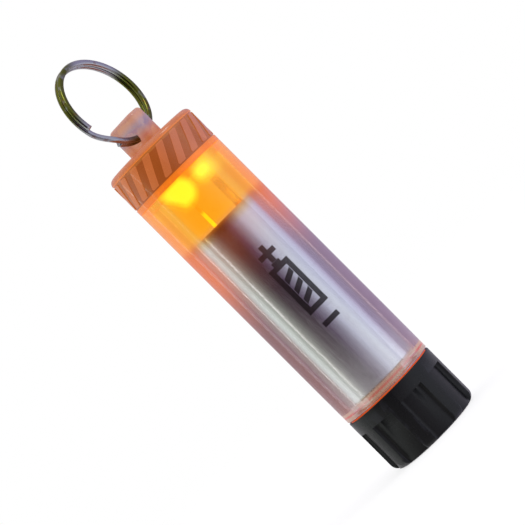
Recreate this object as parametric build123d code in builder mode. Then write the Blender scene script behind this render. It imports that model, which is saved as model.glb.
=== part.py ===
"""Keychain marker light: a clear glow tube with a battery sleeve, a screw cap and a split ring.

The light stands on its cap. +Z runs up the tube's axis towards the ring, the origin is the centre
of the cap's flat end, and the split ring's wire passes through the lug along X. Millimetres.
"""

import os
from math import atan2, cos, degrees, hypot, radians, sin, tan

from build123d import *

os.makedirs("parts", exist_ok=True)

# ---- driving dimensions ----------------------------------------------------------------------
body_radius = 9.5
cap_height = 11.8
cap_gap = 0.25            # open joint between cap and tube, where the seal shows
joint_height = 62.9       # glued joint of tube and head
shoulder_height = 70.9    # flat top of the head, which the lug stands on
lug_height = 6.0
tube_wall = 1.8
thread_pitch = 1.5
cell_radius = 5.25        # one AAA cell
cell_length = 44.5
ring_outer_radius = 9.3
ring_inner_radius = 8.2
ring_lean = 4.2           # degrees that the ring leans from upright at rest
ring_aside = 0.5          # how far the ring has slid along the eye

# ---- sizes worked out from them --------------------------------------------------------------
bore_radius = body_radius - tube_wall
neck_top = cap_height + cap_gap
neck_bottom = 4.2
neck_root_radius = 7.25
neck_bore_radius = 6.3
sleeve_seat = 13.6
cell_bottom = 5.4
cell_top = cell_bottom + cell_length
sleeve_top = 52.5
board_bottom = joint_height + 1.0
board_thickness = 1.0
board_radius = 6.95
head_ceiling = shoulder_height - 1.5
eye_height = shoulder_height + 2.05
thread_depth = 0.65
thread_mid_width = 0.65
flank_spread = thread_depth * tan(radians(30))


def save(piece, label):
    """Label one finished piece and write it as a STEP file of the same name."""
    piece.part.label = label
    export_step(piece.part, f"parts/{label}.step")


def half_section(points):
    """Face with (radius, height) corners, beside the Z axis."""
    with BuildSketch(Plane.XZ) as section:
        with BuildLine():
            Polyline(*points, close=True)
        make_face()
    return section.sketch


def turned(points):
    """Solid of revolution about Z from (radius, height) corners."""
    with BuildPart() as piece:
        add(half_section(points))
        revolve(axis=Axis.Z)
    return piece.part


def tube_points(inner, outer, low, high):
    """Corners of a plain ring's half section."""
    return [(inner, low), (outer, low), (outer, high), (inner, high)]


def thread_ridge(crest_radius, wall_radius, start, turns):
    """Right-hand trapezoid ridge that stands on a wall, its root sunk a little into it."""
    sink = 0.1 if crest_radius > wall_radius else -0.1
    root_half = (thread_mid_width + flank_spread) / 2
    crest_half = (thread_mid_width - flank_spread) / 2
    with BuildPart() as ridge:
        with BuildLine():
            path = Helix(thread_pitch, thread_pitch * turns, wall_radius, center=(0, 0, start))
        add(
            half_section(
                [
                    (wall_radius - sink, start - root_half),
                    (crest_radius, start - crest_half),
                    (crest_radius, start + crest_half),
                    (wall_radius - sink, start + root_half),
                ]
            )
        )
        sweep(path=path, is_frenet=True)
    return ridge.part


# ---- tube: clear barrel with a threaded neck -------------------------------------------------
rebate_radius = 8.6
rebate_depth = 1.2
edge_break = 0.15
tube_thread_start = 4.9
tube_thread_turns = 3.4

with BuildPart() as tube:
    add(
        turned(
            [
                (neck_bore_radius, neck_bottom),
                (neck_root_radius, neck_bottom),
                (neck_root_radius, neck_top),
                (body_radius, neck_top),
                (body_radius, joint_height),
                (rebate_radius, joint_height),
                (rebate_radius, joint_height - rebate_depth),
                (bore_radius, joint_height - rebate_depth),
                (bore_radius, sleeve_seat),
                (neck_bore_radius, sleeve_seat),
            ]
        )
    )
    round_edges = tube.edges().filter_by(GeomType.CIRCLE)
    outer_edges = round_edges.filter_by(lambda e: abs(e.radius - body_radius) < 0.01)
    chamfer(outer_edges, length=edge_break)
    add(thread_ridge(neck_root_radius + thread_depth, neck_root_radius, tube_thread_start, tube_thread_turns))
save(tube, "tube")

# ---- head: shoulder, marked band, lug with its eye -------------------------------------------
tongue_radius = rebate_radius - 0.02
head_fillet = 1.05
band_depth = 0.15
band_low = joint_height + 1.1
band_high = band_low + 5.8
band_radius = body_radius - band_depth
bar_count = 18
bar_width = 1.6
bar_margin = 0.25
bar_lean = 28
bar_corner = 0.25
bar_root = 0.2
lug_thickness = 4.4
lug_width = 7.2
lug_corner = 1.4
lug_top_fillet = 0.8
eye_radius = 1.55
eye_fillet = 0.25
lug_root = 0.2

bar_height = band_high - band_low - 2 * bar_margin
bar_shift = bar_height / 2 * tan(radians(bar_lean))

with BuildPart() as hazard_bars:
    add(turned(tube_points(band_radius - bar_root, body_radius, band_low + bar_margin, band_high - bar_margin)))
    with BuildSketch(Plane(origin=(0, 0, (band_low + band_high) / 2), x_dir=(0, 1, 0), z_dir=(1, 0, 0))) as bar:
        with BuildLine():
            Polyline(
                (-bar_shift - bar_width / 2, -bar_height / 2),
                (-bar_shift + bar_width / 2, -bar_height / 2),
                (bar_shift + bar_width / 2, bar_height / 2),
                (bar_shift - bar_width / 2, bar_height / 2),
                close=True,
            )
        make_face()
        fillet(bar.vertices(), radius=bar_corner)
    extrude(amount=2 * body_radius, mode=Mode.INTERSECT)

with BuildPart() as head:
    with BuildSketch(Plane.XZ):
        with BuildLine():
            Polyline(
                (0, head_ceiling),
                (bore_radius, head_ceiling),
                (bore_radius, joint_height - rebate_depth),
                (tongue_radius, joint_height - rebate_depth),
                (tongue_radius, joint_height),
                (body_radius, joint_height),
                (body_radius, band_low),
                (band_radius, band_low),
                (band_radius, band_high),
                (body_radius, band_high),
                (body_radius, shoulder_height),
                (0, shoulder_height),
                close=True,
            )
        make_face()
    revolve(axis=Axis.Z)
    rim = head.edges().filter_by(GeomType.CIRCLE).filter_by(
        lambda e: abs(e.radius - body_radius) < 0.01 and abs(e.center().Z - shoulder_height) < 0.01
    )
    fillet(rim, radius=head_fillet)
    with PolarLocations(0, bar_count):
        add(hazard_bars.part)
    with BuildSketch(Plane.XY.offset(shoulder_height - lug_root)):
        RectangleRounded(lug_thickness, lug_width, lug_corner)
    extrude(amount=lug_height + lug_root)
    lug_rim = head.edges().group_by(Axis.Z)[-1]
    fillet(lug_rim, radius=lug_top_fillet)
    with Locations(Plane(origin=(0, 0, eye_height), z_dir=(1, 0, 0))):
        Cylinder(eye_radius, 2 * lug_thickness, mode=Mode.SUBTRACT)
    eye_rims = head.edges().filter_by(GeomType.CIRCLE).filter_by(lambda e: abs(e.radius - eye_radius) < 0.01)
    fillet(eye_rims, radius=eye_fillet)
save(head, "head")

# ---- silver sleeve, and the collar that it stands on -----------------------------------------
collar_flange = 0.3
sleeve_radius = 7.5
sleeve_wall = 0.25
sleeve_bore = sleeve_radius - sleeve_wall
collar_radius = 6.25
collar_wall = 0.25
collar_foot_radius = 7.0
collar_seat_radius = 7.4

with BuildPart() as sleeve:
    add(turned(tube_points(sleeve_bore, sleeve_radius, sleeve_seat + collar_flange, sleeve_top)))
save(sleeve, "sleeve")

with BuildPart() as ground_collar:
    add(
        turned(
            [
                (collar_radius - collar_wall, neck_bottom - collar_flange),
                (collar_foot_radius, neck_bottom - collar_flange),
                (collar_foot_radius, neck_bottom),
                (collar_radius, neck_bottom),
                (collar_radius, sleeve_seat),
                (collar_seat_radius, sleeve_seat),
                (collar_seat_radius, sleeve_seat + collar_flange),
                (collar_radius - collar_wall, sleeve_seat + collar_flange),
            ]
        )
    )
save(ground_collar, "ground_collar")

# ---- liner: thin tube with ribs that centres the cell in the sleeve --------------------------
liner_bore = 5.45
liner_radius = 5.9
liner_low = 4.8
liner_high = 49.4
rib_count = 6
rib_width = 1.0
rib_radius = sleeve_bore - 0.05
rib_root = 0.4
liner_ring_height = 1.2

with BuildPart() as battery_liner:
    with BuildSketch(Plane.XY.offset(sleeve_seat + collar_flange)):
        Circle(liner_radius)
        with PolarLocations((liner_radius + rib_radius) / 2, rib_count):
            Rectangle(rib_radius - liner_radius + rib_root, rib_width)
        Circle(rib_radius, mode=Mode.INTERSECT)
    extrude(amount=liner_high - sleeve_seat - collar_flange)
    add(turned(tube_points(0, liner_radius, liner_low, sleeve_seat + 1)))
    for ring_low in (sleeve_seat + collar_flange, liner_high - liner_ring_height):
        add(turned(tube_points(0, rib_radius, ring_low, ring_low + liner_ring_height)))
    with Locations((0, 0, (liner_low + liner_high) / 2)):
        Cylinder(liner_bore, liner_high, mode=Mode.SUBTRACT)
save(battery_liner, "battery_liner")

# ---- the cell --------------------------------------------------------------------------------
jacket_wall = 0.1
jacket_start = 0.3
jacket_lip = 0.9
can_slope = 0.5
can_slope_drop = 0.2
can_radius = cell_radius - jacket_wall
nub_radius = 1.9
nub_height = 0.9
nub_fillet = 0.3
cap_flange_radius = 3.6
seal_inner_radius = 3.3
seal_lift = 0.15
plate_radius = 3.2
plate_thickness = 0.4
plate_fillet = 0.2
jacket_top = cell_top - nub_height
can_top = jacket_top - jacket_wall
can_bottom = cell_bottom + plate_thickness

with BuildPart() as cell_can:
    add(
        turned(
            [
                (0, can_bottom),
                (can_radius, can_bottom),
                (can_radius, can_top - can_slope_drop),
                (can_radius - can_slope, can_top),
                (0, can_top),
            ]
        )
    )
save(cell_can, "cell_can")

with BuildPart() as cell_jacket:
    add(
        turned(
            [
                (can_radius, cell_bottom + jacket_start),
                (cell_radius, cell_bottom + jacket_start),
                (cell_radius, jacket_top),
                (can_radius - jacket_lip, jacket_top),
                (can_radius - jacket_lip, can_top),
                (can_radius - can_slope, can_top),
                (can_radius, can_top - can_slope_drop),
            ]
        )
    )
save(cell_jacket, "cell_jacket")

with BuildPart() as cell_positive_cap:
    add(
        turned(
            [
                (0, can_top),
                (cap_flange_radius, can_top),
                (cap_flange_radius, jacket_top + jacket_wall),
                (nub_radius, jacket_top + jacket_wall),
                (nub_radius, cell_top),
                (0, cell_top),
            ]
        )
    )
    nub_rim = cell_positive_cap.edges().group_by(Axis.Z)[-1]
    fillet(nub_rim, radius=nub_fillet)
save(cell_positive_cap, "cell_positive_cap")

with BuildPart() as cell_seal:
    add(turned(tube_points(seal_inner_radius, can_radius - jacket_wall, cell_bottom + seal_lift, can_bottom)))
save(cell_seal, "cell_seal")

with BuildPart() as cell_negative_plate:
    add(turned(tube_points(0, plate_radius, cell_bottom, can_bottom)))
    plate_rim = cell_negative_plate.edges().group_by(Axis.Z)[0]
    fillet(plate_rim, radius=plate_fillet)
save(cell_negative_plate, "cell_negative_plate")

# ---- contacts between the cell and the circuit board -----------------------------------------
disc_low = cell_top + 0.4
disc_thickness = 1.2
lead_x = 1.55
lead_y = 3.25
lead_radius = 0.35
contact_radius = 2.6
contact_arm = 2.4
lead_top = board_bottom + board_thickness + 0.5
strip_radius = 6.75
strip_width = 1.6
strip_thickness = 0.3
tab_width = 0.8
tab_inset = 0.2
foot_height = 1.2
foot_gap = 0.1
bridge_height = 0.3
slot_length = 1.4
disc_chamfer = 0.2

with BuildPart() as positive_contact:
    with BuildSketch(Plane.XY.offset(cell_top)):
        SlotCenterToCenter(2 * hypot(lead_x, lead_y), contact_arm, rotation=degrees(atan2(lead_y, lead_x)))
        Circle(contact_radius)
    extrude(amount=disc_low - cell_top)
save(positive_contact, "positive_contact")

with BuildPart() as insulating_disc:
    with BuildSketch(Plane.XY.offset(disc_low)):
        Circle(rib_radius)
        with Locations((lead_x, lead_y)):
            Circle(lead_radius, mode=Mode.SUBTRACT)
        with Locations((rib_radius - foot_gap, 0)):
            Rectangle(slot_length, strip_width + foot_gap, mode=Mode.SUBTRACT)
    extrude(amount=disc_thickness)
    top_rim = insulating_disc.edges().group_by(Axis.Z)[-1].sort_by(SortBy.LENGTH)[-1]
    chamfer(top_rim, length=disc_chamfer)
save(insulating_disc, "insulating_disc")

with BuildPart() as positive_lead:
    with BuildSketch(Plane.XY.offset(disc_low)):
        with Locations((lead_x, lead_y)):
            Circle(lead_radius)
    extrude(amount=lead_top - disc_low)
save(positive_lead, "positive_lead")

with BuildPart() as ground_strip:
    with Locations((strip_radius, 0, (disc_low + board_bottom) / 2)):
        Box(strip_thickness, strip_width, board_bottom - disc_low)
    with Locations(((strip_radius + sleeve_bore) / 2, 0, disc_low + foot_height / 2)):
        Box(sleeve_bore - strip_radius - foot_gap, strip_width, foot_height)
    with Locations((strip_radius - tab_inset, 0, board_bottom + board_thickness / 2)):
        Box(strip_thickness, tab_width, board_thickness)
    with Locations((strip_radius - tab_inset / 2, 0, board_bottom - bridge_height / 2)):
        Box(strip_thickness + tab_inset, strip_width, bridge_height)
save(ground_strip, "ground_strip")

# ---- circuit board and what is soldered to it ------------------------------------------------
led_places = {"led_left": (-2.55, 0.65), "led_right": (2.95, -1.85)}
led_radius = 2.4
led_flange_radius = 2.75
led_flange_height = 0.8
led_length = 4.8
leg_width = 0.5
leg_spacing = 2.54
leg_stub = 0.8            # soldered end of each leg, above the board
cup_leg_reach = 1.5
bond_leg_reach = 1.9
cup_offset = 0.45
cup_radius = 0.85
cup_height = 0.7
cup_arm_length = 1.2
cup_arm_height = 0.5
cup_mouth_radius = 0.6
cup_floor_radius = 0.35
cup_hollow = 0.3
leg_break = 0.15
board_top = board_bottom + board_thickness

def led_frame(place):
    """Two legs, with the cup that carries the chip on one and the bond post on the other."""
    x, y = place
    leg_top = board_top + leg_stub
    cup_top = board_bottom - cup_leg_reach
    with BuildPart() as frame_piece:
        for side, reach in ((-1, cup_leg_reach), (1, bond_leg_reach)):
            with Locations((x + side * leg_spacing / 2, y, leg_top)):
                height = leg_top - board_bottom + reach
                Box(leg_width, leg_width, height, align=(Align.CENTER, Align.CENTER, Align.MAX))
        with Locations((x - cup_offset, y, cup_top)):
            Cylinder(cup_radius, cup_height, align=(Align.CENTER, Align.CENTER, Align.MAX))
        with Locations((x - 2 * cup_offset, y, cup_top + leg_break)):
            Box(cup_arm_length, leg_width, cup_arm_height)
        with Locations((x - cup_offset, y, cup_top - cup_height)):
            upward = (Align.CENTER, Align.CENTER, Align.MIN)
            Cone(cup_mouth_radius, cup_floor_radius, cup_hollow, align=upward, mode=Mode.SUBTRACT)
    return frame_piece


def led_lens(place, frame_piece):
    """Domed body with its flange against the board, moulded round the lead frame."""
    x, y = place
    dome_centre = board_bottom - led_length + led_radius
    with BuildPart() as lens:
        with Locations((x, y, board_bottom)):
            Cylinder(led_flange_radius, led_flange_height, align=(Align.CENTER, Align.CENTER, Align.MAX))
            Cylinder(led_radius, led_length - led_radius, align=(Align.CENTER, Align.CENTER, Align.MAX))
        with Locations((x, y, dome_centre)):
            Sphere(led_radius)
        add(frame_piece.part, mode=Mode.SUBTRACT)
    return lens


for led_name, led_place in led_places.items():
    frame_piece = led_frame(led_place)
    save(frame_piece, f"{led_name}_frame")
    save(led_lens(led_place, frame_piece), led_name)

with BuildPart() as circuit_board:
    with BuildSketch(Plane.XY.offset(board_bottom)):
        Circle(board_radius)
        for led_x, led_y in led_places.values():
            with Locations((led_x - leg_spacing / 2, led_y), (led_x + leg_spacing / 2, led_y)):
                Rectangle(leg_width, leg_width, mode=Mode.SUBTRACT)
        with Locations((lead_x, lead_y)):
            Circle(lead_radius, mode=Mode.SUBTRACT)
        with Locations((strip_radius - tab_inset, 0)):
            Rectangle(strip_thickness, tab_width, mode=Mode.SUBTRACT)
    extrude(amount=board_thickness)
save(circuit_board, "circuit_board")

shroud_radius = bore_radius - 0.05
shroud_inner_radius = board_radius + 0.02
shroud_ledge_radius = board_radius - 0.6

with BuildPart() as board_shroud:
    add(
        turned(
            [
                (shroud_inner_radius, board_bottom),
                (shroud_radius, board_bottom),
                (shroud_radius, head_ceiling),
                (shroud_ledge_radius, head_ceiling),
                (shroud_ledge_radius, board_top),
                (shroud_inner_radius, board_top),
            ]
        )
    )
save(board_shroud, "board_shroud")

inductor_place = (-0.6, -3.6)
inductor_flange_radius = 1.7
inductor_flange = 0.5
inductor_core_radius = 1.35
inductor_core = 1.6
chip_place = (-1.6, 3.6)
chip_size = (2.9, 1.6, 1.1)
chip_standoff = 0.15
pin_row = 1.05
pin_spacing = 0.95
pin_size = (0.4, 0.7, 0.35)
resistor_places = ((4.6, 2.0, board_top), (4.6, 0.6, board_top))
resistor_size = (1.6, 0.8, 0.5)
capacitor_place = (2.6, -4.7, board_top)
capacitor_size = (2.0, 1.25, 1.2)
standing = (Align.CENTER, Align.CENTER, Align.MIN)

with BuildPart() as inductor:
    core_low = board_top + inductor_flange
    with Locations((*inductor_place, board_top), (*inductor_place, core_low + inductor_core)):
        Cylinder(inductor_flange_radius, inductor_flange, align=standing)
    with Locations((*inductor_place, core_low)):
        Cylinder(inductor_core_radius, inductor_core, align=standing)
save(inductor, "inductor")

with BuildPart() as driver_chip:
    with Locations((*chip_place, board_top + chip_standoff)):
        Box(*chip_size, align=standing)
    top_edges = driver_chip.faces().sort_by(Axis.Z)[-1].edges()
    chamfer(top_edges, length=chip_standoff)
    for side in (-1, 1):
        with Locations((chip_place[0], chip_place[1] + side * pin_row, board_top)):
            with GridLocations(pin_spacing, 0, 3, 1):
                Box(*pin_size, align=standing)
save(driver_chip, "driver_chip")

with BuildPart() as resistors:
    with Locations(*resistor_places):
        Box(*resistor_size, align=standing)
save(resistors, "resistors")

with BuildPart() as capacitor:
    with Locations(capacitor_place):
        Box(*capacitor_size, align=standing)
save(capacitor, "capacitor")

# ---- seal between tube and cap ---------------------------------------------------------------
seal_section = 0.59
seal_radius = 8.45

with BuildPart() as o_ring:
    with BuildSketch(Plane.XZ):
        with Locations((seal_radius, neck_top - seal_section)):
            Circle(seal_section)
    revolve(axis=Axis.Z)
save(o_ring, "o_ring")

# ---- screw cap -------------------------------------------------------------------------------
cap_floor = 1.8
cap_wall_radius = 8.0
seal_recess_radius = 9.1
seal_recess_depth = 1.0
cap_bottom_fillet = 1.6
collar_height = 2.75
panel_count = 8
panel_angle = 30.5
panel_depth = 0.8
panel_phase = 5.0
cap_thread_start = tube_thread_start - thread_pitch / 2
cap_thread_turns = 3.6

panel_floor = body_radius - panel_depth
panel_half = panel_angle / 2
panel_reach = body_radius + 2
mouth_fillet = 0.15

with BuildPart() as grip_panel:
    with BuildSketch(Plane.XY):
        with BuildLine():
            corners = [
                (radius * cos(radians(angle)), radius * sin(radians(angle)))
                for radius, angle in (
                    (panel_floor, -panel_half),
                    (panel_reach, -panel_half),
                    (panel_reach, panel_half),
                    (panel_floor, panel_half),
                )
            ]
            Line(corners[0], corners[1])
            Line(corners[1], corners[2])
            Line(corners[2], corners[3])
            RadiusArc(corners[3], corners[0], panel_floor)
        make_face()
    extrude(amount=cap_height - collar_height)

with BuildPart() as end_cap:
    add(
        turned(
            [
                (0, 0),
                (body_radius, 0),
                (body_radius, cap_height),
                (seal_recess_radius, cap_height),
                (seal_recess_radius, cap_height - seal_recess_depth),
                (cap_wall_radius, cap_height - seal_recess_depth),
                (cap_wall_radius, cap_floor),
                (0, cap_floor),
            ]
        )
    )
    base_rim = end_cap.edges().filter_by(GeomType.CIRCLE).group_by(Axis.Z)[0]
    fillet(base_rim, radius=cap_bottom_fillet)
    mouth_rim = end_cap.edges().filter_by(GeomType.CIRCLE).group_by(Axis.Z)[-1].sort_by(SortBy.RADIUS)[-1]
    fillet(mouth_rim, radius=mouth_fillet)
    with PolarLocations(0, panel_count, start_angle=panel_phase):
        add(grip_panel.part, mode=Mode.SUBTRACT)
    add(thread_ridge(cap_wall_radius - thread_depth, cap_wall_radius, cap_thread_start, cap_thread_turns))
save(end_cap, "end_cap")

# ---- the cap's contact cup and conical spring ------------------------------------------------
cup_thickness = 0.3
cup_inner_radius = 6.2
cup_rim_top = neck_bottom - collar_flange
spring_wire = 0.3
spring_low = cap_floor + cup_thickness + spring_wire + 0.02
spring_high = cell_bottom - spring_wire - 0.05
spring_base_radius = 4.6
spring_top_radius = 2.6
spring_turns = 3

with BuildPart() as cap_contact:
    add(
        turned(
            [
                (0, cap_floor),
                (collar_foot_radius, cap_floor),
                (collar_foot_radius, cup_rim_top),
                (cup_inner_radius, cup_rim_top),
                (cup_inner_radius, cap_floor + cup_thickness),
                (0, cap_floor + cup_thickness),
            ]
        )
    )
save(cap_contact, "cap_contact")

spring_rise = spring_high - spring_low
with BuildPart() as negative_spring:
    with BuildLine():
        coil = Helix(
            pitch=spring_rise / spring_turns,
            height=spring_rise,
            radius=spring_base_radius,
            center=(0, 0, spring_low),
            cone_angle=-degrees(atan2(spring_base_radius - spring_top_radius, spring_rise)),
        )
    with BuildSketch(Plane(origin=coil @ 0, z_dir=coil % 0)):
        Circle(spring_wire)
    sweep(path=coil, is_frenet=True)
save(negative_spring, "negative_spring")

# ---- split ring: two flat layers of one wire, joined by a crossing step ----------------------
layer_thickness = 0.88
layer_pitch = 0.9
wire_corner = 0.4
step_angle = 34
step_sections = 7
step_place = 196          # where the crossing starts, round from +X towards the ring's top
end_gap = 3.0
ring_wire_width = ring_outer_radius - ring_inner_radius
ring_middle = (ring_outer_radius + ring_inner_radius) / 2
ring_sag = 0.25           # the wire hangs this far below the eye's centre
ring_centre_height = eye_height - ring_sag + ring_middle


def wire_section(angle, offset):
    """Plane of the wire's section at an angle round a ring that lies flat, centred on the origin."""
    outward = Vector(cos(radians(angle)), sin(radians(angle)), 0)
    return Plane(origin=outward * ring_middle + Vector(0, 0, offset), x_dir=outward, z_dir=(-outward.Y, outward.X, 0))


def ring_layer(start, sweep_angle, offset):
    """One flat layer of the wire, from a start angle round by sweep_angle."""
    with BuildPart() as layer:
        with BuildSketch(wire_section(start, offset)):
            RectangleRounded(ring_wire_width, layer_thickness, wire_corner)
        revolve(axis=Axis.Z, revolution_arc=sweep_angle)
    return layer.part


with BuildPart() as flat_ring:
    add(ring_layer(step_place + step_angle + end_gap, 360 - step_angle - end_gap, -layer_pitch / 2))
    add(ring_layer(step_place + step_angle, 360 - step_angle - end_gap, layer_pitch / 2))
    for index in range(step_sections):
        fraction = index / (step_sections - 1)
        eased = fraction * fraction * (3 - 2 * fraction)
        with BuildSketch(wire_section(step_place + step_angle * fraction, layer_pitch * (eased - 0.5))):
            RectangleRounded(ring_wire_width, layer_thickness, wire_corner)
    loft()

upright = Plane(origin=(ring_aside, 0, ring_centre_height), x_dir=(1, 0, 0), z_dir=(0, -1, 0))
hinge_line = Axis((0, 0, eye_height), (1, 0, 0))
with BuildPart() as split_ring:
    add(flat_ring.part.moved(upright.location).rotate(hinge_line, -ring_lean))
save(split_ring, "split_ring")
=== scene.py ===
"""Looks of a keychain marker light: lit glow tube, silver battery sleeve, black screw cap and split ring."""

import math

import bmesh
import bpy
from bpy.props import FloatProperty, FloatVectorProperty, IntProperty, PointerProperty
from mathutils import Matrix, Vector


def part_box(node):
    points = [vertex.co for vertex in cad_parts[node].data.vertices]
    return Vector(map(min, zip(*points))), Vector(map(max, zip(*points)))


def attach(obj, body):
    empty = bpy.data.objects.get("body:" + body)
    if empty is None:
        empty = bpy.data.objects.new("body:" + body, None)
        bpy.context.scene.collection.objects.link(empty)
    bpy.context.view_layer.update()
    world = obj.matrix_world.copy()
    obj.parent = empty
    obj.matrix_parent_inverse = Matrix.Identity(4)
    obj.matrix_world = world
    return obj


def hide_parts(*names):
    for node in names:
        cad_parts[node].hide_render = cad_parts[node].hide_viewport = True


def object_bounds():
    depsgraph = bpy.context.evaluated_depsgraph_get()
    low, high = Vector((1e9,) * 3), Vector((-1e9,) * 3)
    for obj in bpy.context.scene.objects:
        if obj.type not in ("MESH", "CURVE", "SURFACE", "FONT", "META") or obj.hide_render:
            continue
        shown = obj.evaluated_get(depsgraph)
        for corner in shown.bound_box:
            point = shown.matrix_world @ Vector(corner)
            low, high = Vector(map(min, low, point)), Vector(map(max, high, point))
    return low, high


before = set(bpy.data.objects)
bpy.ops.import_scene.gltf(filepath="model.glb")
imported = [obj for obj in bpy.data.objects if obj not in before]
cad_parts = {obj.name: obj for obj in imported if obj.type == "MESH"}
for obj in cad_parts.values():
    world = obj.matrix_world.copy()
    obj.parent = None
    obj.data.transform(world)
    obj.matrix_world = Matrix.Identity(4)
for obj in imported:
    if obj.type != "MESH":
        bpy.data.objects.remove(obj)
CAD_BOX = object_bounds()

bl_info = {
    "name": "Keychain marker light",
    "version": (1, 0, 0),
    "blender": (4, 5, 0),
    "location": "View3D > Sidebar > Marker light",
    "description": "Builds the pieces, finishes and stage of a keychain marker light",
    "category": "Object",
}

# ---- places, sizes and lights ----------------------------------------------------------------

MM = 0.001
TUBE_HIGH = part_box("tube")[1]
HEAD_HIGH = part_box("head")[1]
CAP_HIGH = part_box("end_cap")[1]
SLEEVE_LOW, SLEEVE_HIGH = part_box("sleeve")

# Heights and radii for the finishes, in millimetres.
BODY_RADIUS = TUBE_HIGH.x / MM
JOINT = TUBE_HIGH.z / MM
LUG_HEIGHT = 6.0
SHOULDER = HEAD_HIGH.z / MM - LUG_HEIGHT
BAND = (JOINT + 1.12, SHOULDER - 1.12)
BAND_FACE = 9.42
FOOT = (CAP_HIGH.z / MM + 0.4, SLEEVE_LOW.z / MM - 0.1)
SLEEVE_TOP = SLEEVE_HIGH.z / MM
PLASTIC_IOR = 1.49

# The side with the print faces the front; across runs to the right as seen from there.
FRONT_TURN = math.radians(-52.0)
ACROSS = Vector((math.cos(FRONT_TURN), math.sin(FRONT_TURN), 0))
PRINT_TURN = FRONT_TURN - math.radians(80.0)

# Each lamp's light, in millimetres: its painted spot on the wall as across and height, the way it is drawn
# out, the light's radius, how it widens on the way, and how the spot is drawn out and pinched.
LAMP_LIGHTS = {
    "left": {
        "spot": (-1.6, JOINT - 2.2),
        "aim": (-0.88, 0.46),
        "radius": 2.5,
        "widens": -0.7,
        "drawn": 0.32,
        "pinch": 0.28,
    },
    "right": {
        "spot": (3.3, JOINT - 1.9),
        "aim": (1.0, 0.1),
        "radius": 1.75,
        "widens": 0.5,
        "drawn": 0.45,
        "pinch": -0.16,
    },
}
LIGHT_DEPTH = 3.1 * MM

# Lens and aim of the camera.
LENS_HEIGHT = 49.9 * MM
AIM_HEIGHT = 42.4 * MM
AIM_ASIDE = -0.3 * MM

# Name, degrees round from the front, degrees up, distance, width, height, power, colour.
SOFTBOXES = (
    ("key", 60, 46, 0.5, 0.14, 0.14, 0.34, (1.0, 0.98, 0.97)),
    ("left_strip", -71, 4, 0.4, 0.01, 0.4, 0.035, (1.0, 1.0, 0.98)),
    ("left_hairline", -113, 4, 0.4, 0.01, 0.4, 0.045, (1.0, 1.0, 0.98)),
)

# The room's bands of light and shade: degrees round from the front, and display colour.
ROOM_BANDS = (
    (-180, (160, 150, 165)),
    (-120, (205, 208, 205)),
    (-95, (214, 224, 222)),
    (-74, (184, 192, 178)),
    (-53, (112, 112, 108)),
    (-34, (60, 46, 54)),
    (-14, (42, 22, 36)),
    (3, (72, 52, 84)),
    (21, (142, 138, 156)),
    (39, (200, 205, 225)),
    (58, (232, 240, 252)),
    (81, (214, 220, 244)),
    (110, (186, 180, 214)),
    (150, (160, 150, 180)),
    (180, (160, 150, 165)),
)


def shown_colour(red, green, blue):
    """Linear colour for a display colour given as 0 to 255."""
    return tuple(
        part / 12.92 if part <= 0.04045 else ((part + 0.055) / 1.055) ** 2.4
        for part in (red / 255, green / 255, blue / 255)
    )


def colour_property(name, description, default):
    """A colour that the panel shows."""
    return FloatVectorProperty(
        name=name, description=description, subtype="COLOR", size=3, min=0, max=1, default=default
    )


def length_property(name, description, default):
    """A length that the panel shows."""
    return FloatProperty(name=name, description=description, default=default, min=0, unit="LENGTH")


# ---- sizes and colours that a user would change ----------------------------------------------


class MarkerLightColours(bpy.types.PropertyGroup):
    glow: colour_property("Glow", "Lit plastic close to the lamps", shown_colour(252, 180, 30))
    lamp: colour_property("Lamp", "Light inside each lamp", (1.0, 0.95, 0.07))
    silver: colour_property("Sleeve", "Drawn aluminium sleeve", shown_colour(226, 228, 232))
    ink: colour_property("Ink", "Print on the sleeve", shown_colour(22, 18, 18))
    cap: colour_property("Cap", "Moulded black cap", shown_colour(6, 6, 8))
    nickel: colour_property("Nickel", "Plating of the split ring", shown_colour(168, 166, 172))
    seal: colour_property("Seal", "Silicone seal", shown_colour(236, 84, 18))
    brass: colour_property("Brass", "Contacts", shown_colour(214, 178, 98))
    floor: colour_property("Floor", "Studio floor", (0.86, 0.86, 0.86))


class MarkerLightSizes(bpy.types.PropertyGroup):
    edge: length_property("Moulded edge", "Rounding of the cap's edges", 0.16 * MM)
    print_width: length_property("Print width", "Width of the sleeve's print across the tube", 4.4 * MM)
    glow_layers: IntProperty(
        name="Glow layers", description="Nested layers of light inside each lamp", default=4, min=2, max=6
    )
    camera_distance: length_property("Camera distance", "From the lens to the tube's axis", 0.457)
    picture_width: length_property("Picture width", "Width of the picture at the tube's axis", 91.1 * MM)


# ---- shader maths ----------------------------------------------------------------------------


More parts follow.
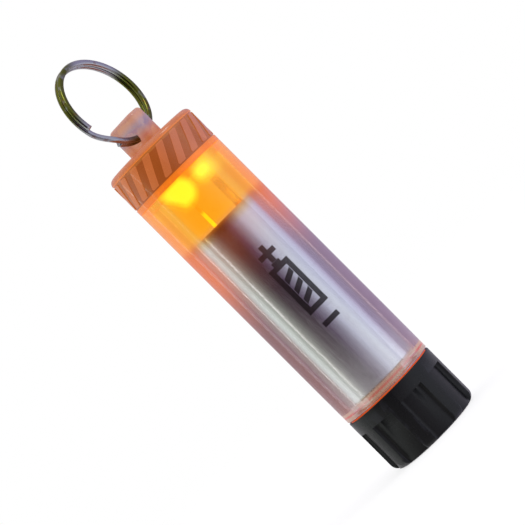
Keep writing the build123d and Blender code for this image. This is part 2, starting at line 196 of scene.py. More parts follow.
class Reading:
    """A shader value. Sums and products of readings add the Math nodes."""

    def __init__(self, nodes, socket):
        self.nodes = nodes
        self.socket = socket

    def maths(self, operation, *parts):
        values = dict(enumerate(parts))
        return self.nodes.node("ShaderNodeMath", {"operation": operation}, values)

    def __add__(self, other):
        return self.maths("ADD", self, other)

    def __radd__(self, other):
        return self.maths("ADD", other, self)

    def __sub__(self, other):
        return self.maths("SUBTRACT", self, other)

    def __rsub__(self, other):
        return self.maths("SUBTRACT", other, self)

    def __mul__(self, other):
        return self.maths("MULTIPLY", self, other)

    def __rmul__(self, other):
        return self.maths("MULTIPLY", other, self)

    def __pow__(self, other):
        return self.maths("POWER", self, other)

    def __neg__(self):
        return self.maths("MULTIPLY", self, -1.0)

    def above(self, level):
        return self.maths("GREATER_THAN", self, level)

    def sine(self):
        return self.maths("SINE", self)

    def size(self):
        return self.maths("ABSOLUTE", self)

    def at_least(self, other):
        return self.maths("MAXIMUM", self, other)

    def at_most(self, other):
        return self.maths("MINIMUM", self, other)

    def rise(self, low, high, first=0.0, last=1.0):
        """Smooth step from first at low to last at high."""
        return self.nodes.node(
            "ShaderNodeMapRange",
            {"interpolation_type": "SMOOTHSTEP"},
            {"Value": self, "From Min": low, "From Max": high, "To Min": first, "To Max": last},
        )

    def between(self, low, high, soft):
        """One between low and high, and nothing outside."""
        return self.rise(low - soft, low + soft) * self.rise(high - soft, high + soft, 1.0, 0.0)


class NodeWork:
    """Makes and joins the nodes of one node tree."""

    def __init__(self, tree):
        self.tree = tree

    def node(self, kind, settings=None, values=None, output=0):
        """A node of that kind: settings first, then the values or links of its sockets."""
        made = self.tree.nodes.new(kind)
        for name, value in (settings or {}).items():
            if name == "stops":
                self.set_stops(made.color_ramp.elements, value)
            else:
                setattr(made, name, value)
        for name, value in (values or {}).items():
            self.feed(made.inputs[name], value)
        if isinstance(output, tuple):
            return tuple(Reading(self, made.outputs[each]) for each in output)
        return Reading(self, made.outputs[output])

    def set_stops(self, elements, stops):
        """Gives a ramp its stops as place and colour; the first is at 0 and the last at 1."""
        elements[0].color = (*stops[0][1], 1)
        elements[1].color = (*stops[-1][1], 1)
        for place, colour in stops[1:-1]:
            elements.new(place).color = (*colour, 1)

    def feed(self, socket, value):
        """Links a reading to a socket, or sets a constant on it."""
        if isinstance(value, Reading):
            self.tree.links.new(value.socket, socket)
        elif isinstance(value, (tuple, list)) and socket.type == "RGBA" and len(value) == 3:
            socket.default_value = (*value, 1)
        else:
            socket.default_value = value

    def parts(self, vector):
        """The three parts of a vector."""
        return self.node("ShaderNodeSeparateXYZ", None, {0: vector}, output=("X", "Y", "Z"))

    def blend(self, share, first, last):
        """Colour that goes from first to last with share."""
        return self.node("ShaderNodeMix", {"data_type": "RGBA"}, {0: share, 6: first, 7: last}, output=2)


class Finish(NodeWork):
    """One material, with a Principled surface and the nodes that drive it."""

    def __init__(self, name, colour=(0.8, 0.8, 0.8), roughness=0.5, **constants):
        self.material = bpy.data.materials.new(name)
        self.material.use_nodes = True
        super().__init__(self.material.node_tree)
        self.surface = self.tree.nodes["Principled BSDF"]
        self.drive(Base_Color=colour, Roughness=roughness, **constants)
        self.place = self.node("ShaderNodeTexCoord", output="Object")

    def drive(self, **readings):
        """Feeds the surface's own sockets, with constants or readings."""
        for name, value in readings.items():
            self.feed(self.surface.inputs[name.replace("_", " ")], value)

    def apart(self):
        """The place on the piece as three readings, in millimetres."""
        return self.parts(self.scaled(self.place, 1 / MM))

    def scaled(self, vector, share):
        """A vector or colour times a number."""
        return self.node("ShaderNodeVectorMath", {"operation": "SCALE"}, {0: vector, "Scale": share})

    def stretched(self, along):
        """The place with its height scaled, for grain that runs up the tube."""
        values = {"Vector": self.place, "Scale": (1.0, 1.0, along)}
        return self.node("ShaderNodeMapping", {"vector_type": "POINT"}, values)

    def noise(self, per_metre, detail=3.0, rough=0.55, place=None):
        values = {"Vector": place or self.place, "Scale": per_metre, "Detail": detail, "Roughness": rough}
        return self.node("ShaderNodeTexNoise", {"noise_dimensions": "3D"}, values)

    def bump(self, height, strength, distance):
        values = {"Height": height, "Strength": strength, "Distance": distance}
        self.drive(Normal=self.node("ShaderNodeBump", None, values))

    def mixed(self, share, first, last):
        return self.node("ShaderNodeMixShader", None, {0: share, 1: first, 2: last})

    def clear(self, colour=(1.0, 1.0, 1.0)):
        """Lets the light through, tinted."""
        return self.node("ShaderNodeBsdfTransparent", None, {"Color": colour})

    def body(self):
        """The surface itself, as a shader to mix."""
        return Reading(self, self.surface.outputs[0])

    def finish_with(self, shader):
        self.feed(self.tree.nodes["Material Output"].inputs["Surface"], shader)


# ---- finishes --------------------------------------------------------------------------------


def colours():
    return bpy.context.scene.marker_light_colours


def sizes():
    return bpy.context.scene.marker_light_sizes


def from_lamp(across, height, light):
    """Distance in millimetres from a lamp's painted spot on the wall, shorter on the side that it is drawn
    out to.
    """
    side = across - light["spot"][0]
    up = height - light["spot"][1]
    run = side * light["aim"][0] + up * light["aim"][1]
    off = side * light["aim"][1] - up * light["aim"][0]
    ahead = run.at_least(0.0)
    run = run - ahead * light["drawn"]
    off = off * (ahead * light["pinch"] + 1.0).at_least(0.4)
    return (run * run + off * off) ** 0.5


def lamp_spots(across, height):
    """Painted spots where the lamps light the wall in front of them: a drop on the left, a fan with a core on
    the right.
    """
    drop = from_lamp(across, height, LAMP_LIGHTS["left"]).rise(1.5, 3.3, 1.0, 0.0)
    fan = from_lamp(across, height, LAMP_LIGHTS["right"])
    return drop.at_least(fan.rise(0.4, 2.5, 0.85, 0.0) + fan.rise(0.4, 1.2, 0.15, 0.0))


def tube_looks(made, left, around, z, frost, drift, rim):
    """Painted glow, shade and opacity of the tube: amber lamp light by the lamps, rosy below and mauve on the
    right, painted spots, and red lines at its foot.
    """
    # Painted lamp light: amber that reaches lower on the left, and the lit band above the sleeve.
    near = (z + left * 3.0).rise(34.0, 51.0)
    lit = z.rise(SLEEVE_TOP - 0.9, SLEEVE_TOP + 1.1)
    # Painted glow far from the lamps: rosy on the left and mauve on the right, as the light falls.
    low_painted_glow = made.blend(left.rise(-0.5, 0.5), shown_colour(176, 148, 182), shown_colour(166, 90, 82))
    low_painted_glow = made.blend(near, low_painted_glow, shown_colour(240, 114, 12))
    # Painted glow at the rims: paler amber where the wall is seen edge-on.
    amber = made.blend(rim, tuple(colours().glow), shown_colour(246, 146, 66))
    shade = made.blend(lit, low_painted_glow, amber)
    clouded = (near * 0.05 + 0.012) * frost
    clouded = clouded + (0.34 - clouded) * lit
    # The whole tube glows at this strength: painted lamp light, strongest by the lamps.
    power = (near * 0.45 + 0.38) * drift
    power = power + (0.92 - power) * lit
    # Painted spots of lamp light on the wall in front of the lamps.
    spots = lamp_spots(left * -BODY_RADIUS, z)
    shade = made.blend(spots, shade, shown_colour(250, 244, 44))
    clouded = clouded + spots * 0.5
    power = power + spots * 0.12
    # Painted glow at the tube's foot, with red curved lines.
    foot = z.between(*FOOT, 0.12)
    lines = foot * ((z + (around - BODY_RADIUS) * 0.7) * 5.4).sine().rise(0.1, 0.9)
    shade = made.blend(foot, shade, shown_colour(206, 166, 140))
    shade = made.blend(lines, shade, shown_colour(222, 84, 66))
    clouded = clouded + foot * 0.3
    power = power + foot * 0.3
    opacity = (clouded + (0.7 + lit * 0.06 - clouded) * rim).at_most(0.94)
    return shade, power, opacity


def head_looks(made, left, around, z, frost, drift):
    """Painted glow, shade and opacity of the head, all of it painted lamp light: a dark band with raised
    bars, and a paler lug with a painted mauve band where the ring's wire shows through.
    """
    band = z.between(*BAND, 0.03)
    raised = band * around.above(BAND_FACE)
    lug = z.rise(SHOULDER + 0.1, SHOULDER + 2.6)
    # Painted band: the ring's wire seen through the lug, in mauve.
    painted_wire_band = z.between(SHOULDER + 2.5, SHOULDER + 4.3, 0.7) * frost * 0.85
    # Painted glow on the raised bars, warmer on the left.
    raised_glow_by_side = made.blend(left.rise(-0.8, 0.4), shown_colour(190, 106, 72), shown_colour(204, 112, 58))
    shade = made.blend(band, shown_colour(246, 128, 32), shown_colour(164, 84, 34))
    shade = made.blend(raised, shade, raised_glow_by_side)
    shade = made.blend(z.rise(SHOULDER - 1.3, SHOULDER - 0.7), shade, shown_colour(192, 104, 66))
    shade = made.blend(lug, shade, shown_colour(188, 132, 130))
    shade = made.blend(painted_wire_band, shade, shown_colour(138, 128, 172))
    opacity = (0.74 + raised * 0.14 - lug * 0.1) * frost.rise(0.8, 1.2, 0.97, 1.03)
    # The head's whole colour glows at this strength: painted lamp light.
    return shade, drift * 0.86, opacity


def clear_plastic(name, head=False):
    """Faintly frosted clear plastic whose colour glows as painted lamp light, with a denser tint and a paler
    painted glow at its rims.
    """
    made = Finish(name, roughness=0.3, IOR=PLASTIC_IOR, Emission_Strength=1.0)
    x, y, z = made.apart()
    around = (x * x + y * y) ** 0.5
    left = (x * ACROSS.x + y * ACROSS.y) * (-1 / BODY_RADIUS)
    rim = made.node("ShaderNodeLayerWeight", None, {"Blend": 0.5}, output="Facing").rise(0.34, 0.5)
    frost = made.noise(2600, 4.0, 0.6).rise(0.35, 0.75, 0.85, 1.15)
    drift = made.noise(160, 2.0, 0.5).rise(0.3, 0.7, 0.94, 1.06)
    flow = made.noise(300, 3.0, 0.5, made.stretched(0.06)).rise(0.35, 0.65, 0.85, 1.15)
    if head:
        shade, power, opacity = head_looks(made, left, around, z, frost, drift)
    else:
        shade, power, opacity = tube_looks(made, left, around, z, frost, drift, rim)
    # Painted light: the shade glows as emission over the whole plastic.
    made.drive(
        Base_Color=made.scaled(shade, 0.22),
        Emission_Color=made.scaled(shade, power),
        Roughness=(flow - 1.0) * 0.3 + 0.26,
    )
    made.bump(made.noise(900, 3.0, 0.5, made.stretched(0.15)), 0.12, 0.1 * MM)
    see_through = made.mixed(rim, made.clear((1.0, 0.99, 0.985)), made.clear((0.93, 0.78, 0.82)))
    # Painted light: the see-through turns orange near the lamps, as if tinted by their light.
    see_through = made.mixed(z.rise(50.0, 54.5), see_through, made.clear((1.0, 0.8, 0.4)))
    gloss = made.node("ShaderNodeBsdfGlossy", None, {"Color": (1.0, 1.0, 1.0), "Roughness": 0.07})
    fresnel = made.node("ShaderNodeFresnel", None, {"IOR": PLASTIC_IOR})
    made.finish_with(made.mixed(fresnel * 0.6, made.mixed(opacity, see_through, made.body()), gloss))
    return made.material


def drawn_aluminium(name):
    """Bright drawn tube with fine lines up its length, a few rubbed streaks and a soft lustre."""
    silver = tuple(colours().silver)
    made = Finish(name, silver, 0.24, Metallic=1.0)
    fine = made.noise(5200, 3.0, 0.6, made.stretched(0.012))
    broad = made.noise(700, 2.0, 0.5, made.stretched(0.05))
    rubs = made.noise(240, 4.0, 0.7).rise(0.52, 0.72)
    tone = made.blend(broad.rise(0.35, 0.65) * 0.4, silver, shown_colour(206, 206, 214))
    made.drive(
        Base_Color=made.blend(rubs * 0.25, tone, shown_colour(190, 186, 190)),
        Roughness=0.15 + fine.rise(0.3, 0.7) * 0.08 + rubs * 0.05,
    )
    made.bump(fine, 0.04, 0.02 * MM)
    return made.material


def printed_ink(name):
    """Screen-printed black ink with a slightly broken edge."""
    ink = tuple(colours().ink)
    made = Finish(name, ink, 0.42)
    speck = made.noise(4200, 3.0, 0.6)
    made.drive(
        Base_Color=made.blend(speck.rise(0.5, 0.75) * 0.5, ink, shown_colour(52, 44, 42)),
        Roughness=0.36 + speck * 0.2,
    )
    made.bump(speck, 0.1, 0.02 * MM)
    return made.material


def black_nylon(name, colour):
    """Spark-textured black moulding, greyed in patches along its sharp outer edges."""
    made = Finish(name, colour, 0.4, Specular_IOR_Level=0.32)
    grain = made.noise(5200, 2.0, 0.5)
    rub = made.noise(420, 4.0, 0.65)
    edge = made.node("ShaderNodeNewGeometry", output="Pointiness").rise(0.515, 0.56)
    # Greyer in patches where the edges are sharp.
    grey_edges = (edge * rub.rise(0.35, 0.6) * 0.5).at_most(1.0)
    tone = made.blend(rub * 0.5, colour, tuple(0.003 + part * 1.3 for part in colour))
    made.drive(
        Base_Color=made.blend(grey_edges, tone, shown_colour(44, 44, 52)),
        Roughness=0.2 + grain.rise(0.3, 0.7) * 0.1 + rub * 0.14,
    )
    made.bump(grain, 0.3, 0.05 * MM)
    return made.material


def plated_metal(name, colour, roughness, streaks):
    """Plated or drawn metal with hairline scratches and a little tarnish."""
    made = Finish(name, colour, roughness, Metallic=1.0)
    hair = made.noise(3800, 4.0, 0.7, made.stretched(0.2))
    dull = made.noise(500, 3.0, 0.6).rise(0.5, 0.78)
    made.drive(
        Base_Color=made.blend(dull * streaks, colour, shown_colour(90, 78, 60)),
        Roughness=roughness + hair.rise(0.4, 0.75) * 0.14 + dull * 0.1,
    )
    made.bump(hair, 0.06, 0.01 * MM)
    return made.material


def ring_plating(name, colour):
    """Black nickel over spring steel: bright at its top and foot, a painted dark olive reflection on its
    flanks, and brown specks.
    """
    made = Finish(name, colour, 0.16, Metallic=1.0)
    x, _, z = made.apart()
    cloud = made.noise(420, 3.0, 0.6)
    # Painted reflection: dark olive on the ring's flanks, away from its top and foot.
    olive_reflection = (x * 0.55 - (z - SHOULDER - 11.8) * 0.6).size().rise(2.6, 5.2)
    tone = made.blend(olive_reflection * cloud.rise(0.2, 0.45), colour, shown_colour(96, 98, 40))
    rust = made.noise(900, 3.0, 0.6).rise(0.56, 0.68)
    made.drive(
        Base_Color=made.blend(rust * 0.5, tone, shown_colour(128, 66, 44)),
        Roughness=cloud.rise(0.4, 0.75) * 0.1 + 0.13,
    )
    made.bump(cloud, 0.02, 0.02 * MM)
    return made.material


def plain_moulding(name, colour, roughness=0.45, glow=0.0, glow_colour=(1.0, 0.35, 0.05)):
    """Small inner moulding with faint flow marks; given a glow, it carries a painted glow of the lamps'
    light.
    """
    made = Finish(name, colour, roughness, Emission_Strength=glow)
    flow = made.noise(380, 3.0, 0.55)
    grain = made.noise(3000, 2.0, 0.5)
    made.drive(
        Base_Color=made.blend(flow.rise(0.3, 0.7) * 0.35, colour, tuple(0.72 * part for part in colour)),
        Roughness=roughness + grain.rise(0.3, 0.7) * 0.15,
    )
    made.bump(grain, 0.1, 0.03 * MM)
    # Painted light: emission standing in for the lamps' light on the part.
    if glow:
        dimmer = tuple(0.7 * part for part in glow_colour)
        made.drive(Emission_Color=made.blend(flow * 0.4, glow_colour, dimmer))
    return made.material


def lit_lead(name):
    """Bright wire with a painted orange glow, and a brighter painted pool of the lamps' light at its foot."""
    made = Finish(name, shown_colour(200, 150, 70), 0.3, Metallic=0.6, Emission_Strength=1.0)
    z = made.apart()[2]
    hair = made.noise(3000, 3.0, 0.6, made.stretched(0.1))
    # Painted pool of lamp light on the wire.
    pool = z.between(SLEEVE_TOP + 0.1, SLEEVE_TOP + 3.3, 0.5)
    made.drive(
        Base_Color=made.blend(hair * 0.4, shown_colour(200, 150, 70), shown_colour(150, 100, 40)),
        Emission_Color=made.blend(pool, (0.9, 0.3, 0.02), (2.6, 1.7, 0.05)),
        Roughness=hair * 0.2 + 0.2,
    )
    return made.material


def cell_film(name):
    """Printed film of the battery: dark body, copper band by the positive end, rubbed a little."""
    made = Finish(name, shown_colour(34, 38, 52), 0.25, Coat_Weight=0.3)
    z = made.apart()[2]
    rub = made.noise(600, 4.0, 0.65)
    lines = z.between(36.6, 37.2, 0.05) + z.between(10.0, 10.8, 0.05)
    body = made.blend(z.above(38.0), shown_colour(34, 38, 52), shown_colour(178, 108, 62))
    body = made.blend(lines, body, shown_colour(214, 212, 206))
    made.drive(
        Base_Color=made.blend(rub.rise(0.55, 0.75) * 0.3, body, shown_colour(120, 120, 124)),
        Roughness=rub * 0.2 + 0.16,
    )
    made.bump(rub, 0.06, 0.03 * MM)
    return made.material


def board_mask(name):
    """Green solder mask over copper tracks, with the weave showing faintly."""
    made = Finish(name, shown_colour(30, 96, 56), 0.3)
    x, y, _ = made.apart()
    bend = made.noise(260, 1.0, 0.4)
    rows = ((x + bend * 3.0) * 3.6).sine().rise(0.55, 0.7)
    tracks = rows * ((y + bend * 2.0) * 1.1).sine().rise(-0.4, -0.2)
    weave = (x * 19.0).sine() * (y * 19.0).sine()
    mask = made.blend(weave * 0.12 + 0.12, shown_colour(24, 84, 48), shown_colour(36, 104, 60))
    made.drive(
        Base_Color=made.blend(tracks, mask, shown_colour(58, 142, 84)),
        Roughness=bend * 0.1 + 0.26,
    )
    made.bump(tracks, 0.3, 0.03 * MM)
    return made.material


def lamp_epoxy(name):
    """Amber tinted epoxy of a lit lamp, brightest by the board."""
    made = Finish(name, shown_colour(255, 170, 40), 0.12, IOR=1.52, Emission_Strength=1.0)
    z = made.apart()[2]
    ripple = made.noise(700, 2.0, 0.5)
    height = z.rise(JOINT - 3.9, JOINT + 0.7)
    made.drive(
        Base_Color=made.blend(ripple * 0.3, shown_colour(255, 170, 40), shown_colour(255, 140, 20)),
        Emission_Color=made.blend(height, (1.0, 0.36, 0.01), (1.0, 0.45, 0.01)),
        Roughness=0.1 + ripple * 0.12,
    )
    share = 0.34 + height * 0.2 + ripple * 0.04
    made.finish_with(made.mixed(share, made.clear((1.0, 0.85, 0.45)), made.body()))
    return made.material


def lamp_light(name):
    """The light inside a lamp, in shells whose strength is kept on the mesh."""
    made = Finish(name, (0.1, 0.05, 0.0), 0.6, Emission_Strength=3.0)
    share = made.node("ShaderNodeAttribute", {"attribute_name": "share"}, output="Fac")
    ripple = made.noise(500, 2.0, 0.5)
    lamp = tuple(colours().lamp)
    made.drive(Emission_Color=made.blend(ripple * 0.4, lamp, (lamp[0], lamp[1] * 0.9, lamp[2])))
    made.finish_with(made.mixed(ripple * 0.02 + share, made.clear(), made.body()))
    return made.material


def studio_floor(name):
    """Pale floor that fades out at its edge."""
    pale = tuple(colours().floor)
    made = Finish(name, pale, 0.7, Emission_Strength=0.42)
    x, y, _ = made.apart()
    cloud = made.noise(9, 2.0, 0.5)
    fade = ((x * x + y * y) ** 0.5).rise(120.0, 400.0, 0.42, 0.0)
    made.drive(
        Base_Color=made.blend(cloud * 0.3, pale, tuple(0.97 * part for part in pale)),
        Emission_Color=(1.0, 1.0, 1.0),
    )
    made.finish_with(made.mixed(fade, made.clear(), made.body()))
    return made.material


# ---- mesh helpers ----------------------------------------------------------------------------


def coat(obj, material):
    """Gives a piece one material."""
    obj.data.materials.clear()
    obj.data.materials.append(material)
    return obj


def placed(name, shape, material):
    """An object from a bmesh, in the scene and with its material."""
    mesh = bpy.data.meshes.new(name)
    shape.to_mesh(mesh)
    shape.free()
    obj = bpy.data.objects.new(name, mesh)
    bpy.context.scene.collection.objects.link(obj)
    return coat(obj, material)


def new_piece(name, shape, material, body, smooth_angle=35.0):
    """A piece from a bmesh, smooth but for its sharp edges, riding on a body."""
    obj = placed(name, shape, material)
    obj.data.shade_smooth()
    obj.data.set_sharp_from_angle(angle=math.radians(smooth_angle))
    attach(obj, body)
    return obj


def merged_copy(node):
    """A bmesh of a node's own shape, with its loose triangles joined and its flats cleaned."""
    shape = bmesh.new()
    shape.from_mesh(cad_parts[node].data)
    bmesh.ops.remove_doubles(shape, verts=shape.verts, dist=0.002 * MM)
    every = {"verts": shape.verts, "edges": shape.edges}
    bmesh.ops.dissolve_limit(shape, angle_limit=math.radians(0.4), use_dissolve_boundaries=False, **every)
    return shape


def is_hard(edge, over):
    """Whether an edge is an outer corner sharper than so many degrees."""
    return len(edge.link_faces) == 2 and edge.is_convex and edge.calc_face_angle() > math.radians(over)


def round_edges(shape, edges, width):
    """Rounds these edges of a shape."""
    bmesh.ops.bevel(
        shape,
        geom=edges,
        offset=width,
        offset_type="OFFSET",
        affect="EDGES",
        segments=3,
        profile=0.5,
        material=-1,
        clamp_overlap=True,
    )


# ---- pieces ----------------------------------------------------------------------------------


class BuildClearShell(bpy.types.Operator):
    """Finish the clear tube and the clear head"""

    bl_idname = "marker_light.clear_shell"
    bl_label = "Clear shell"

    def execute(self, context):
        coat(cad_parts["tube"], clear_plastic("tube_plastic"))
        coat(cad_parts["head"], clear_plastic("head_plastic", head=True))
        return {"FINISHED"}


class BuildSleeve(bpy.types.Operator):
    """Finish the silver sleeve and print its polarity marks"""

    bl_idname = "marker_light.sleeve"
    bl_label = "Sleeve and print"

    def execute(self, context):
        coat(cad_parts["sleeve"], drawn_aluminium("drawn_aluminium"))
        shape = bmesh.new()
        self.marks(shape, sizes().print_width)
        radius = SLEEVE_HIGH.x + 0.015 * MM
        for vert in shape.verts:
            angle = PRINT_TURN + vert.co.x / SLEEVE_HIGH.x
            vert.co = (radius * math.cos(angle), radius * math.sin(angle), vert.co.y)
        bmesh.ops.recalc_face_normals(shape, faces=shape.faces)
        new_piece("sleeve_print", shape, printed_ink("sleeve_ink"), "barrel")
        return {"FINISHED"}

    def marks(self, shape, width):
        """Flat marks, x across the tube and y up it: plus, battery outline with slanted bars, minus."""
        middle = (SLEEVE_LOW.z + SLEEVE_HIGH.z) / 2 + 2.2 * MM
        plus = middle + 7.6 * MM
        minus = middle - 7.9 * MM
        stroke = 1.0 * MM
        half = 4.6 * MM
        self.bar(shape, 0, plus, width * 0.8, stroke)
        self.bar(shape, 0, plus, stroke, width * 0.8)
        self.bar(shape, 0, minus, width * 0.8, stroke)
        for end in (-1, 1):
            self.bar(shape, 0, middle + end * half, width, stroke)
            self.bar(shape, end * (width - stroke) / 2, middle, stroke, 2 * half)
        self.bar(shape, 0, middle + half + 0.8 * MM, width * 0.4, stroke * 0.8)
        for step in (-1, 0, 1):
            self.bar(shape, 0, middle + step * half / 2, width * 0.5, stroke * 1.2, slant=0.5)

    def bar(self, shape, across, along, width, height, slant=0.0):
        """One bar as a fine grid, so that it wraps smoothly."""
        for vert in bmesh.ops.create_grid(shape, x_segments=12, y_segments=2, size=0.5)["verts"]:
            x = vert.co.x * width
            vert.co = (across + x, along + vert.co.y * height + slant * x, 0)


class BuildLamps(bpy.types.Operator):
    """Finish both lamps and build the light inside them"""

    bl_idname = "marker_light.lamps"
    bl_label = "Lamps"

    def execute(self, context):
        epoxy = lamp_epoxy("lamp_epoxy")
        material = lamp_light("lamp_light")
        for side, light in LAMP_LIGHTS.items():
            coat(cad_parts[f"led_{side}"], epoxy)
            new_piece(f"led_{side}_light", self.shells(side, light), material, "barrel")
        return {"FINISHED"}

    def shells(self, side, light):
        """Nested shells of light, drawn out towards the wall and thicker towards the middle."""
        low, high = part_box(f"led_{side}")
        centre = Vector(((low.x + high.x) / 2, (low.y + high.y) / 2, high.z - LIGHT_DEPTH))
        reach = (ACROSS * light["aim"][0] + Vector((0, 0, light["aim"][1]))).normalized()
        layers = sizes().glow_layers
        shape = bmesh.new()
        share = shape.verts.layers.float.new("share")
        for layer in range(layers):
            inward = layer / (layers - 1)
            radius = light["radius"] * MM * (1.35 - 1.05 * inward)
            for vert in bmesh.ops.create_icosphere(shape, subdivisions=4, radius=1.0)["verts"]:
                along = vert.co.dot(reach)
                aside = vert.co - reach * along
                drawn = max(along, 0.0) * (1 - 0.6 * inward)
                shift = reach * along * (1 + 0.75 * drawn) + aside * (1 + light["widens"] * drawn)
                vert.co = centre + shift * radius
                vert[share] = 0.03 + 0.2 * inward
        return shape


class BuildCap(bpy.types.Operator):
    """Build the black grip cap with rounded ribs"""

    bl_idname = "marker_light.cap"
    bl_label = "Screw cap"

    def execute(self, context):
        shape = merged_copy("end_cap")
        inside = CAP_HIGH.x - 0.95 * MM
        shortest = 0.3 * MM
        edges = [
            edge
            for edge in shape.edges
            if is_hard(edge, 30)
            and edge.calc_length() > shortest
            and all(math.hypot(vert.co.x, vert.co.y) > inside for vert in edge.verts)
        ]
        round_edges(shape, edges, sizes().edge)
        nylon = black_nylon("cap_nylon", tuple(colours().cap))
        cap = new_piece("screw_cap", shape, nylon, "cap")
        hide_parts("end_cap")
        return {"FINISHED"}


class BuildRing(bpy.types.Operator):
    """Finish the split ring"""

    bl_idname = "marker_light.ring"
    bl_label = "Split ring"

    def execute(self, context):
        plating = ring_plating("ring_plating", tuple(colours().nickel))
        ring = new_piece("key_ring", merged_copy("split_ring"), plating, "ring", 75.0)
        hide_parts("split_ring")
        return {"FINISHED"}


class BuildInnerParts(bpy.types.Operator):
    """Finish the seal, the contacts, the circuit, the liner and the cell"""

    bl_idname = "marker_light.inner_parts"
    bl_label = "Inner parts"

    def execute(self, context):
        brass = plated_metal("contact_brass", tuple(colours().brass), 0.2, 0.3)
        steel = plated_metal("cell_steel", shown_colour(190, 190, 190), 0.22, 0.2)
        tinned = plated_metal("tinned_wire", shown_colour(205, 200, 190), 0.2, 0.2)
        white = plain_moulding("white_moulding", shown_colour(222, 218, 210))
        # Painted glow of the lamps' light on the disc.
        lit_disc = plain_moulding("lit_disc", shown_colour(235, 190, 140), 0.5, 0.5, (1.0, 0.3, 0.02))
        finishes = {
            # Painted red glow of the lamps' light on the seal.
            "o_ring": plain_moulding("seal_silicone", tuple(colours().seal), 0.35, 0.45, (1.0, 0.14, 0.01)),
            "ground_collar": tinned,
            "ground_strip": brass,
            "positive_contact": brass,
            "cap_contact": brass,
            "negative_spring": plated_metal("spring_wire", shown_colour(150, 150, 156), 0.25, 0.2),
            "positive_lead": lit_lead("lit_lead"),
            "led_left_frame": tinned,
            "led_right_frame": tinned,
            "battery_liner": white,
            "insulating_disc": lit_disc,
            "cell_seal": white,
            "cell_can": steel,
            "cell_positive_cap": steel,
            "cell_negative_plate": steel,
            "cell_jacket": cell_film("cell_film"),
            "circuit_board": board_mask("board_mask"),
            "driver_chip": plain_moulding("chip_epoxy", shown_colour(34, 34, 36), 0.4),
            "inductor": plain_moulding("ferrite", shown_colour(62, 60, 60), 0.6),
            "resistors": plain_moulding("resistor_body", shown_colour(30, 30, 34), 0.35),
            "capacitor": plain_moulding("capacitor_body", shown_colour(176, 134, 92), 0.4),
            # Painted glow of the lamps' light on the shroud.
            "board_shroud": plain_moulding("shroud", shown_colour(70, 30, 14), 0.5, 0.12, (1.0, 0.25, 0.03)),
        }
        for node, material in finishes.items():
            coat(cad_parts[node], material)
        return {"FINISHED"}


class BuildSolder(bpy.types.Operator):
    """Build the solder joints round the legs and the lead on top of the board"""

    bl_idname = "marker_light.solder"
    bl_label = "Solder joints"

    def execute(self, context):
        board_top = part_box("circuit_board")[1].z
        leg = 0.25 * MM
        height = 0.5 * MM
        cone = {"radius1": 0.62 * MM, "radius2": 0.3 * MM, "depth": height}
        places = []
        for side in LAMP_LIGHTS:
            low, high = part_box(f"led_{side}_frame")
            row = (low.y + high.y) / 2
            places += [(low.x + leg, row), (high.x - leg, row)]
        low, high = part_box("positive_lead")
        places.append(((low.x + high.x) / 2, (low.y + high.y) / 2))
        shape = bmesh.new()
        for place in places:
            verts = bmesh.ops.create_cone(shape, cap_ends=True, cap_tris=False, segments=20, **cone)["verts"]
            bmesh.ops.translate(shape, verts=verts, vec=(*place, board_top + height / 2))
        round_edges(shape, [edge for edge in shape.edges if is_hard(edge, 50)], 0.08 * MM)
        finish = plated_metal("solder", shown_colour(196, 196, 198), 0.22, 0.3)
        new_piece("solder_joints", shape, finish, "barrel")
        return {"FINISHED"}


# ---- stage -----------------------------------------------------------------------------------


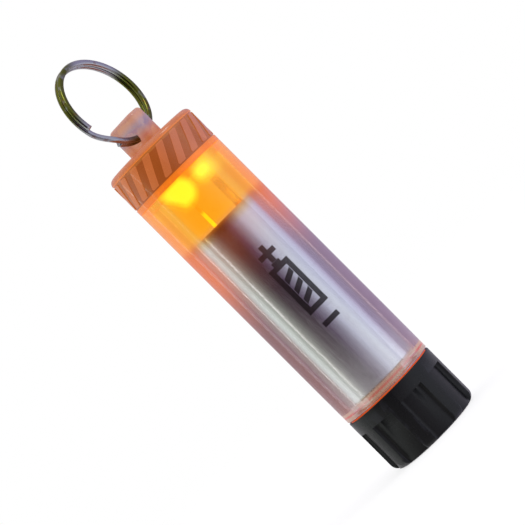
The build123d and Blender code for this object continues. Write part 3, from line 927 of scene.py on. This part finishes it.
class BuildStage(bpy.types.Operator):
    """Set the floor, the soft studio light and the camera"""

    bl_idname = "marker_light.stage"
    bl_label = "Stage"

    def execute(self, context):
        self.floor()
        self.surroundings(context.scene)
        for softbox in SOFTBOXES:
            self.softbox(*softbox)
        self.camera(context.scene)
        context.scene.view_settings.view_transform = "Standard"
        return {"FINISHED"}

    def floor(self):
        shape = bmesh.new()
        bmesh.ops.create_circle(shape, cap_ends=True, cap_tris=False, segments=96, radius=0.45)
        placed("studio_floor", shape, studio_floor("floor_paint"))

    def surroundings(self, scene):
        """A white room for the eye, with soft bands of light and shade round the object for reflections."""
        world = bpy.data.worlds.new("studio")
        scene.world = world
        world.use_nodes = True
        room = NodeWork(world.node_tree)
        stops = [((degrees + 180) / 360, shown_colour(*colour)) for degrees, colour in ROOM_BANDS]
        outward = room.node("ShaderNodeTexCoord", output="Generated")
        turning = {"Vector": outward, "Angle": -FRONT_TURN}
        x, y, z = room.parts(room.node("ShaderNodeVectorRotate", {"rotation_type": "Z_AXIS"}, turning))
        angle = x.maths("ARCTAN2", x, -y)
        turned = room.node(
            "ShaderNodeMapRange", None, {"Value": angle, "From Min": -math.pi, "From Max": math.pi}
        )
        bands = room.node("ShaderNodeValToRGB", {"stops": stops}, {0: turned})
        up = room.node("ShaderNodeMapRange", None, {"Value": z, "From Min": 0.25, "From Max": 0.95})
        lit = room.blend(up, bands, (0.9, 0.9, 0.93))
        seen = room.node("ShaderNodeLightPath", output="Is Camera Ray")
        room.feed(world.node_tree.nodes["Background"].inputs["Color"], room.blend(seen, lit, (1.0, 1.0, 1.0)))

    def softbox(self, name, azimuth, elevation, distance, width, height, power, colour):
        """A soft area lamp that faces the object, at an angle round from the front."""
        lamp = bpy.data.lights.new(name, "AREA")
        lamp.shape = "RECTANGLE"
        lamp.size = width
        lamp.size_y = height
        lamp.energy = power
        lamp.color = colour
        obj = bpy.data.objects.new(name, lamp)
        bpy.context.scene.collection.objects.link(obj)
        turn = FRONT_TURN + math.radians(azimuth)
        rise = math.radians(elevation)
        away = Vector((math.sin(turn) * math.cos(rise), -math.cos(turn) * math.cos(rise), math.sin(rise)))
        obj.location = (CAD_BOX[0] + CAD_BOX[1]) / 2 + away * distance
        obj.rotation_mode = "QUATERNION"
        obj.rotation_quaternion = away.to_track_quat("Z", "Y")

    def camera(self, scene):
        """A long lens that looks a little down, rolled so that the light runs corner to corner."""
        distance = sizes().camera_distance
        lens = bpy.data.cameras.new("camera")
        lens.sensor_width = 36.0
        lens.lens = lens.sensor_width * distance / sizes().picture_width
        lens.clip_start = 0.01
        camera = bpy.data.objects.new("camera", lens)
        scene.collection.objects.link(camera)
        back = Vector((math.sin(FRONT_TURN), -math.cos(FRONT_TURN), 0))
        target = ACROSS * AIM_ASIDE + Vector((0, 0, AIM_HEIGHT))
        camera.location = ACROSS * AIM_ASIDE + back * distance + Vector((0, 0, LENS_HEIGHT))
        forward = (target - camera.location).normalized()
        level = forward.cross(Vector((0, 0, 1))).normalized()
        upright = level.cross(forward)
        across = (level - upright).normalized()
        up = (level + upright).normalized()
        camera.rotation_mode = "QUATERNION"
        camera.rotation_quaternion = Matrix((across, up, -forward)).transposed().to_quaternion()
        scene.camera = camera


# ---- panel and registration ------------------------------------------------------------------

BUILDERS = (
    BuildClearShell,
    BuildSleeve,
    BuildLamps,
    BuildCap,
    BuildRing,
    BuildInnerParts,
    BuildSolder,
    BuildStage,
)


class MarkerLightPanel(bpy.types.Panel):
    """Lists the builders, and the sizes and colours they use"""

    bl_idname = "VIEW3D_PT_marker_light"
    bl_label = "Marker light"
    bl_space_type = "VIEW_3D"
    bl_region_type = "UI"
    bl_category = "Marker light"

    def draw(self, context):
        for builder in BUILDERS:
            self.layout.operator(builder.bl_idname)
        for group in (context.scene.marker_light_sizes, context.scene.marker_light_colours):
            box = self.layout.box()
            for name in group.bl_rna.properties.keys():
                if name not in ("rna_type", "name"):
                    box.prop(group, name)


CLASSES = (MarkerLightColours, MarkerLightSizes, *BUILDERS, MarkerLightPanel)


def register():
    for kind in CLASSES:
        bpy.utils.register_class(kind)
    bpy.types.Scene.marker_light_colours = PointerProperty(type=MarkerLightColours)
    bpy.types.Scene.marker_light_sizes = PointerProperty(type=MarkerLightSizes)


def unregister():
    del bpy.types.Scene.marker_light_sizes
    del bpy.types.Scene.marker_light_colours
    for kind in reversed(CLASSES):
        bpy.utils.unregister_class(kind)


def main():
    register()
    for builder in BUILDERS:
        getattr(bpy.ops.marker_light, builder.bl_idname.split(".")[1])()


if __name__ == "__main__":
    main()
